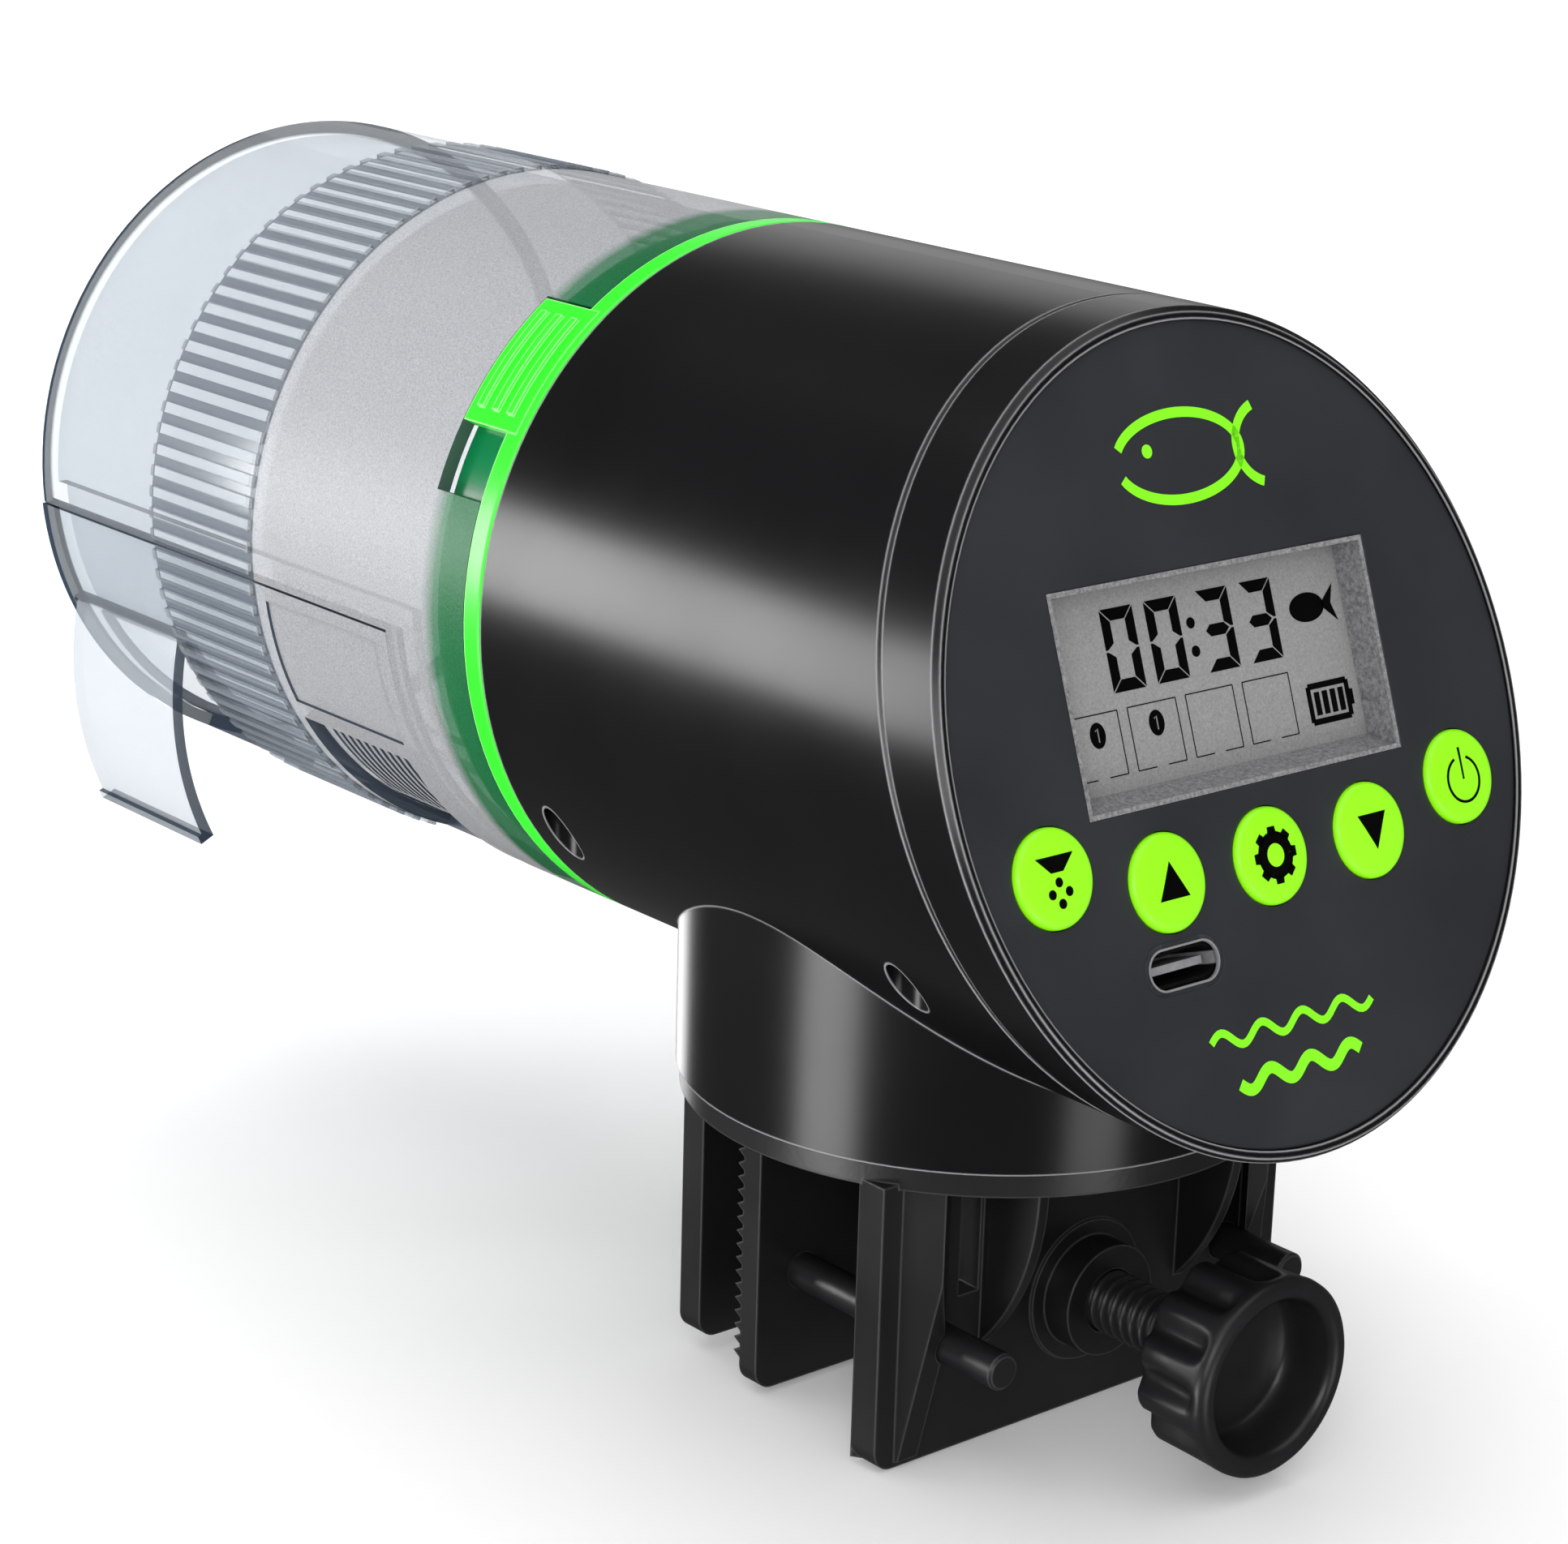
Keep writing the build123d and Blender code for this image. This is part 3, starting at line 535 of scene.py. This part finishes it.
def printed(name, outlines, centre, height, material, body, thick=0.06):
    """Flat printed shapes in face millimetres, each a closed (u, v) outline, a little thick."""
    working = bmesh.new()
    for outline in outlines:
        top, low = [
            [working.verts.new(face_point(centre, u * MM, v * MM, out * MM)) for u, v in outline]
            for out in (height, height - thick)]
        count = len(outline)
        working.faces.new(top)
        working.faces.new(list(reversed(low)))
        for index in range(count):
            after = (index + 1) % count
            working.faces.new((top[index], low[index], low[after], top[after]))
    bmesh.ops.triangulate(working, faces=[face for face in working.faces if len(face.verts) > 4])
    bmesh.ops.recalc_face_normals(working, faces=working.faces)
    mesh = bpy.data.meshes.new(name)
    working.to_mesh(mesh)
    working.free()
    add_piece(name, mesh, material, body)


def band(points, width):
    """Quads that draw a stroke along points."""
    left, right = [], []
    for index, (x, y) in enumerate(points):
        before = points[max(0, index - 1)]
        after = points[min(len(points) - 1, index + 1)]
        length = math.hypot(after[0] - before[0], after[1] - before[1])
        nx, ny = -(after[1] - before[1]) / length, (after[0] - before[0]) / length
        left.append((x + nx * width / 2, y + ny * width / 2))
        right.append((x - nx * width / 2, y - ny * width / 2))
    return [[left[i], right[i], right[i + 1], left[i + 1]] for i in range(len(points) - 1)]


def arc(cx, cy, radius, start, end, count=32, squash=1.0):
    points = []
    for index in range(count + 1):
        turn = math.radians(start + (end - start) * index / count)
        points.append((cx + radius * math.cos(turn), cy + radius * squash * math.sin(turn)))
    return points


def disc(cx, cy, radius, count=40):
    return arc(cx, cy, radius, 0, 360 - 360 / count, count - 1)


# ------------------------------------------------------------------- buttons

KEY_COUNT = 96
# (radius in mm, height in mm over the CAD key's outer face)
KEY_PROFILE = (
    (4.75, -3.4), (4.85, -3.35), (4.85, -2.65), (4.75, -2.55), (4.32, -2.5), (4.30, -0.6),
    (4.26, -0.25), (4.12, -0.02), (3.9, 0.12), (3.4, 0.22), (2.4, 0.30), (1.2, 0.34), (0.15, 0.35),
)


def key_origin(name):
    """The middle of a key's outer face."""
    across = [corner.x for corner in corners_of(name)]
    middle = (max(across) + min(across)) / 2
    return FACE_RIGHT * middle + FACE_UP * middle_up(name) + FACE_OUT * top_of(name)


def key_cap(label):
    """A gently domed key with a rolled edge."""
    centre = key_origin(f"button_{label}")
    loops = []
    for radius, height in KEY_PROFILE:
        loop = []
        for index in range(KEY_COUNT):
            turn = 2 * math.pi * index / KEY_COUNT
            u, v = radius * MM * math.cos(turn), radius * MM * math.sin(turn)
            loop.append(face_point(centre, u, v, height * MM))
        loops.append(loop)
    piece = rings(f"key_cap_{label}", loops, MATERIALS["button_lime"],
                  f"key_{label}")
    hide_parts(f"button_{label}")
    return centre


def gear_icon(radius):
    """A settings cog: eight teeth round a ring."""
    shapes = band(arc(0, 0, radius * 0.62, 0, 360, 48), radius * 0.42)
    for index in range(8):
        turn = math.radians(45 * index)
        inner, outer, half = radius * 0.72, radius, radius * 0.17
        c, s = math.cos(turn), math.sin(turn)
        corners = [(inner, -half * 1.2), (outer, -half), (outer, half), (inner, half * 1.2)]
        shapes.append([(x * c - y * s, x * s + y * c) for x, y in corners])
    return shapes


def feed_icon():
    """Pellets falling from a spout."""
    shapes = [[(-2.1, 1.9), (2.1, 1.9), (0.7, 0.5), (-0.7, 0.5)]]
    for x, y in ((0.0, -0.35), (-0.95, -1.25), (0.95, -1.25), (0.0, -2.15)):
        shapes.append(disc(x, y, 0.42, 20))
    return shapes


KEY_SYMBOLS = {
    "manual": feed_icon(),
    "up": [[(-1.75, -1.45), (1.75, -1.45), (0.0, 1.75)]],
    "set": gear_icon(2.5),
    "down": [[(-1.75, 1.45), (0.0, -1.75), (1.75, 1.45)]],
    "power": band(arc(0, -0.3, 2.05, 112, 428, 48), 0.24) + band([(0, -0.3), (0, 2.6)], 0.24),
}


def buttons():
    for label, symbol in KEY_SYMBOLS.items():
        centre = key_cap(label)
        printed(f"symbol_{label}", symbol, centre, 0.36, INK, f"key_{label}", 0.25)


# ---------------------------------------------------------------- charge port

# Half the straight part of the port's outline, in mm
PORT_STRAIGHT = 2.35
# (name, radius, stroke width and height in mm, material)
PORT_RINGS = (
    ("port_lip", 2.0, 0.56, 0.0, "face_slate"),
    ("port_trim", 1.75, 0.2, 0.05, "lcd_trim"),
)


def port_trim():
    """A lip that narrows the charge port's opening, with a thin pale trim on it."""
    low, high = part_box("usb_socket")
    middle = (low + high) / 2
    centre = FACE_RIGHT * middle.x + FACE_UP * middle.dot(FACE_UP) + FACE_OUT * top_of("face_panel")
    for name, radius, width, height, look in PORT_RINGS:
        path = arc(PORT_STRAIGHT, 0, radius, -90, 90, 24)
        path += arc(-PORT_STRAIGHT, 0, radius, 90, 270, 24)
        path.append(path[0])
        printed(name, band(path, width), centre, height, MATERIALS[look],
                "housing", 0.3)


# -------------------------------------------------------------------- display

# Everything on the display is in mm from its middle
SEGMENTS = {"0": "abcdef", "3": "abgcd"}
SEGMENT_GAP = 0.09
DIGITS = (("0", -10.7), ("0", -5.4), ("3", 0.9), ("3", 6.3))
DIGIT_LOW, DIGIT_WIDTH, DIGIT_HEIGHT, DIGIT_STROKE = 0.3, 3.9, 7.2, 1.05
COLON_X, COLON_HEIGHTS, COLON_RADIUS = -0.25, (2.4, 4.9), 0.5
MEALS, MEALS_SET = 4, 2
MEAL_RIGHT, MEAL_PITCH, MEAL_WIDTH, MEAL_LOW, MEAL_TOP = -10.8, 7.03, 5.8, -6.6, -1.1
MEAL_LINE, MEAL_OPENING = 0.1, 0.7
GAUGE_LEFT, GAUGE_RIGHT, GAUGE_LOW, GAUGE_TOP, GAUGE_LINE = 12.4, 17.3, -6.0, -2.8, 0.55
GAUGE_BARS, BAR_START, BAR_PITCH, BAR_WIDTH = 4, 0.62, 1.02, 0.68
NUB_SPAN, NUB_LOW, NUB_TOP = (0.2, 0.65), -5.1, -3.7


def display_origin():
    low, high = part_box("lcd_panel")
    middle = (low.x + high.x) / 2
    return FACE_RIGHT * middle + FACE_UP * middle_up("lcd_panel") + FACE_OUT * top_of("lcd_panel")


def digit(char, left):
    """Seven-segment strokes with mitred ends, a thin gap apart."""
    gap, width, height, stroke = SEGMENT_GAP, DIGIT_WIDTH, DIGIT_HEIGHT, DIGIT_STROKE
    middle = height / 2
    side = [(width, height - gap), (width, middle + gap), (width - stroke / 4, middle + gap),
            (width - stroke, middle + stroke / 2 + gap), (width - stroke, height - stroke - gap)]
    cap = [(gap, height), (width - gap, height),
           (width - stroke - gap, height - stroke), (stroke + gap, height - stroke)]
    bar = [(stroke / 2, middle), (stroke, middle + stroke / 2),
           (width - stroke - gap, middle + stroke / 2), (width - stroke / 2, middle),
           (width - stroke - gap, middle - stroke / 2), (stroke, middle - stroke / 2)]
    strokes = {
        "a": cap,
        "b": side,
        "c": [(x, height - y) for x, y in side],
        "d": [(x, height - y) for x, y in cap],
        "e": [(width - x, height - y) for x, y in side],
        "f": [(width - x, y) for x, y in side],
        "g": bar,
    }
    return [[(left + x, DIGIT_LOW + y) for x, y in strokes[name]] for name in SEGMENTS[char]]


def meal_boxes():
    """Boxes along the bottom, open at the middle of the lower side, and numbers in the first."""
    shapes, numbers = [], []
    low, top = MEAL_LOW, MEAL_TOP
    for index in range(MEALS):
        right = MEAL_RIGHT + index * MEAL_PITCH
        left = right - MEAL_WIDTH
        middle = (left + right) / 2
        for ends in (((left, low), (left, top)), ((left, top), (right, top)),
                     ((right, top), (right, low)), ((left, low), (middle - MEAL_OPENING, low)),
                     ((middle + MEAL_OPENING, low), (right, low))):
            shapes += band(ends, MEAL_LINE)
        if index < MEALS_SET:
            shapes.append(arc(middle + 0.2, -2.9, 0.9, 0, 350, 30, 1.25))
            one = [(middle - 0.05, -2.5), (middle + 0.25, -2.3), (middle + 0.25, -3.5)]
            numbers += band(one, 0.14)
    return shapes, numbers


def battery_gauge():
    left, right, low, top = GAUGE_LEFT, GAUGE_RIGHT, GAUGE_LOW, GAUGE_TOP
    shapes = []
    for ends in (((left, low), (right, low)), ((left, top), (right, top)),
                 ((left, low), (left, top)), ((right, low), (right, top))):
        shapes += band(ends, GAUGE_LINE)
    nub_left, nub_right = right + NUB_SPAN[0], right + NUB_SPAN[1]
    shapes.append([(nub_left, NUB_LOW), (nub_right, NUB_LOW),
                   (nub_right, NUB_TOP), (nub_left, NUB_TOP)])
    bar_low, bar_top = low + GAUGE_LINE, top - GAUGE_LINE
    for index in range(GAUGE_BARS):
        x = left + BAR_START + index * BAR_PITCH
        after = x + BAR_WIDTH
        shapes.append([(x, bar_low), (after, bar_low), (after, bar_top), (x, bar_top)])
    return shapes


def display():
    """The clock, the meal boxes, the battery gauge and a small plain fish."""
    shapes = []
    for char, left in DIGITS:
        shapes += digit(char, left)
    shapes += [disc(COLON_X, height, COLON_RADIUS, 20) for height in COLON_HEIGHTS]
    boxes, numbers = meal_boxes()
    fish_body = arc(14.2, 4.2, 2.2, 0, 348, 30, 0.6)
    fish_tail = [(15.9, 4.2), (17.9, 5.9), (17.3, 4.2), (17.9, 2.5)]
    shapes += boxes + battery_gauge() + [fish_body, fish_tail]
    centre = display_origin()
    printed("display_segments", shapes, centre, 0.03, INK, "housing", 0.05)
    printed("meal_numbers", numbers, centre, 0.05, MATERIALS["lcd_trim"],
            "housing", 0.04)


# -------------------------------------------------------------- face graphics

FISH_HEIGHT, FISH_STROKE = 24.0, 0.9
# (half width, height on the face, stroke width), all in mm
WAVES = ((10.0, -25.6, 0.7), (7.5, -29.6, 1.05))
WAVE_STEPS, WAVE_HEIGHT, WAVE_LENGTH, WAVE_SHIFT = 60, 0.7, 5.0, 1.0
PRINT_HEIGHT, PRINT_THICK = 0.02, 0.04


def face_graphics():
    """A plain outline fish over the display and two waves under the port."""
    centre = FACE_UP * middle_up("face_panel") + FACE_OUT * top_of("face_panel")
    shapes = band(arc(-1.5, FISH_HEIGHT, 7.5, 200, 520, 60, 0.5), FISH_STROKE)
    shapes += band(arc(9.5, FISH_HEIGHT, 4.0, 110, 250, 24, 0.9), FISH_STROKE)
    shapes.append(disc(-5.2, FISH_HEIGHT + 0.8, 0.6))
    waves = []
    for half, v, stroke in WAVES:
        points = []
        for index in range(WAVE_STEPS + 1):
            u = -half + 2 * half * index / WAVE_STEPS
            rise = WAVE_HEIGHT * math.sin(2 * math.pi * u / WAVE_LENGTH)
            points.append((u - WAVE_SHIFT, v + rise))
        waves += band(points, stroke)
    for name, outlines in (("face_fish", shapes), ("face_waves", waves)):
        printed(name, outlines, centre, PRINT_HEIGHT, LIME_INK,
                "housing", PRINT_THICK)


# ---------------------------------------------------------------------- stage

FLOOR_DROP = 0.0002
FLOOR_CENTRE, FLOOR_RADIUS, FLOOR_BEND, WALL_HEIGHT = 0.3, 2.6, 0.9, 2.6
FLOOR_COUNT, BEND_STEPS = 96, 16


def floor():
    """A round pale floor that curves up into a wall on every side."""
    base = cad_box[0][2] - FLOOR_DROP
    flat_end = FLOOR_RADIUS - FLOOR_BEND
    profile = [(FLOOR_CENTRE, 0.0), (flat_end, 0.0)]
    for index in range(1, BEND_STEPS + 1):
        turn = math.radians(90 * index / BEND_STEPS)
        reach = flat_end + FLOOR_BEND * math.sin(turn)
        profile.append((reach, FLOOR_BEND - FLOOR_BEND * math.cos(turn)))
    profile.append((FLOOR_RADIUS, WALL_HEIGHT))
    vertices = []
    for reach, up in profile:
        for index in range(FLOOR_COUNT):
            turn = 2 * math.pi * index / FLOOR_COUNT
            vertices.append((reach * math.cos(turn), reach * math.sin(turn), base + up))
    faces = [tuple(range(FLOOR_COUNT))]
    # The rings wind the way the middle disc does, so that their upper sides face the part
    faces += [(b, a, d, c) for a, b, c, d in ring_faces(len(profile), FLOOR_COUNT)]
    mesh = bpy.data.meshes.new("studio_floor")
    mesh.from_pydata(vertices, [], faces)
    mesh.shade_smooth()
    piece = bpy.data.objects.new("studio_floor", mesh)
    bpy.context.scene.collection.objects.link(piece)
    shader = Shader("floor_white")
    white = shader.mix(shader.noise(3, 2), (0.86, 0.86, 0.86), (0.9, 0.9, 0.9))
    shader.link(white, shader.principled.inputs["Base Color"])
    shader.set(Roughness=0.85, Specular_IOR_Level=0.1,
               Emission_Color=(1, 1, 1, 1), Emission_Strength=0.12)
    mesh.materials.append(shader.material)
    # Neither mirrored in the gloss black parts nor in the way of the low lights
    piece.visible_glossy = False
    piece.visible_shadow = False


WORLD_STRENGTH = 0.1
AIM = (0, 0.03, 0.02)
# (name, place, aim, size, power in watts, whether gloss mirrors it)
LIGHTS = (
    ("top_box", (-0.1, -0.1, 0.95), AIM, (1.4, 1.4), 7.5, True),
    ("left_back_strip", (-0.75, 0.85, 0.085), AIM, (0.3, 0.36), 4.4, True),
    ("left_low", (-1.08, 0.18, -0.33), AIM, (0.45, 0.3), 5, True),
    ("right_back", (0.68, 0.83, 0.34), AIM, (0.55, 0.5), 0.55, True),
    ("low_back", (0.3, 1.06, -0.3), AIM, (0.35, 0.3), 1.3, True),
    ("front_low", (0.0, -1.1, -0.33), AIM, (0.4, 0.3), 1.8, True),
    ("left_front", (-0.85, -0.75, 0.4), AIM, (0.5, 0.6), 5.5, True),
    ("backdrop_wash", (0.3, 0.9, 1.4), (0.9, 1.6, 0.3), (1.6, 1.0), 24, False),
)


def softbox(name, place, aim, size, power, mirrored):
    light = bpy.data.lights.new(name, "AREA")
    light.shape = "RECTANGLE"
    light.size, light.size_y = size
    light.energy = power
    lamp = bpy.data.objects.new(name, light)
    bpy.context.scene.collection.objects.link(lamp)
    lamp.location = place
    lamp.rotation_euler = (Vector(aim) - Vector(place)).to_track_quat("-Z", "Y").to_euler()
    lamp.visible_glossy = mirrored


def studio_light():
    world = bpy.data.worlds.new("studio")
    bpy.context.scene.world = world
    world.use_nodes = True
    background = world.node_tree.nodes["Background"]
    background.inputs["Color"].default_value = (1.0, 1.0, 1.0, 1)
    background.inputs["Strength"].default_value = WORLD_STRENGTH
    bpy.context.scene.view_settings.view_transform = "Standard"
    for light in LIGHTS:
        softbox(*light)


def camera():
    azimuth, elevation, roll = CAMERA_AZIMUTH, CAMERA_ELEVATION, CAMERA_ROLL
    level = math.cos(elevation)
    back = Vector((math.sin(azimuth) * level, -math.cos(azimuth) * level, math.sin(elevation)))
    right = Vector((math.cos(azimuth), math.sin(azimuth), 0))
    up = back.cross(right)
    rolled_right = right * math.cos(roll) + up * math.sin(roll)
    rolled_up = up * math.cos(roll) - right * math.sin(roll)
    data = bpy.data.cameras.new("camera")
    data.lens = LENS
    data.sensor_width = SENSOR_WIDTH
    data.clip_start = CLIP_START
    eye = bpy.data.objects.new("camera", data)
    bpy.context.scene.collection.objects.link(eye)
    turn = Matrix((rolled_right, rolled_up, back)).transposed().to_4x4()
    eye.matrix_world = Matrix.Translation(CAMERA_AIM + back * CAMERA_DISTANCE) @ turn
    bpy.context.scene.camera = eye


camera()
studio_light()
floor()
clamp_screw()
clamp_knob()
buttons()
display()
face_graphics()
port_trim()
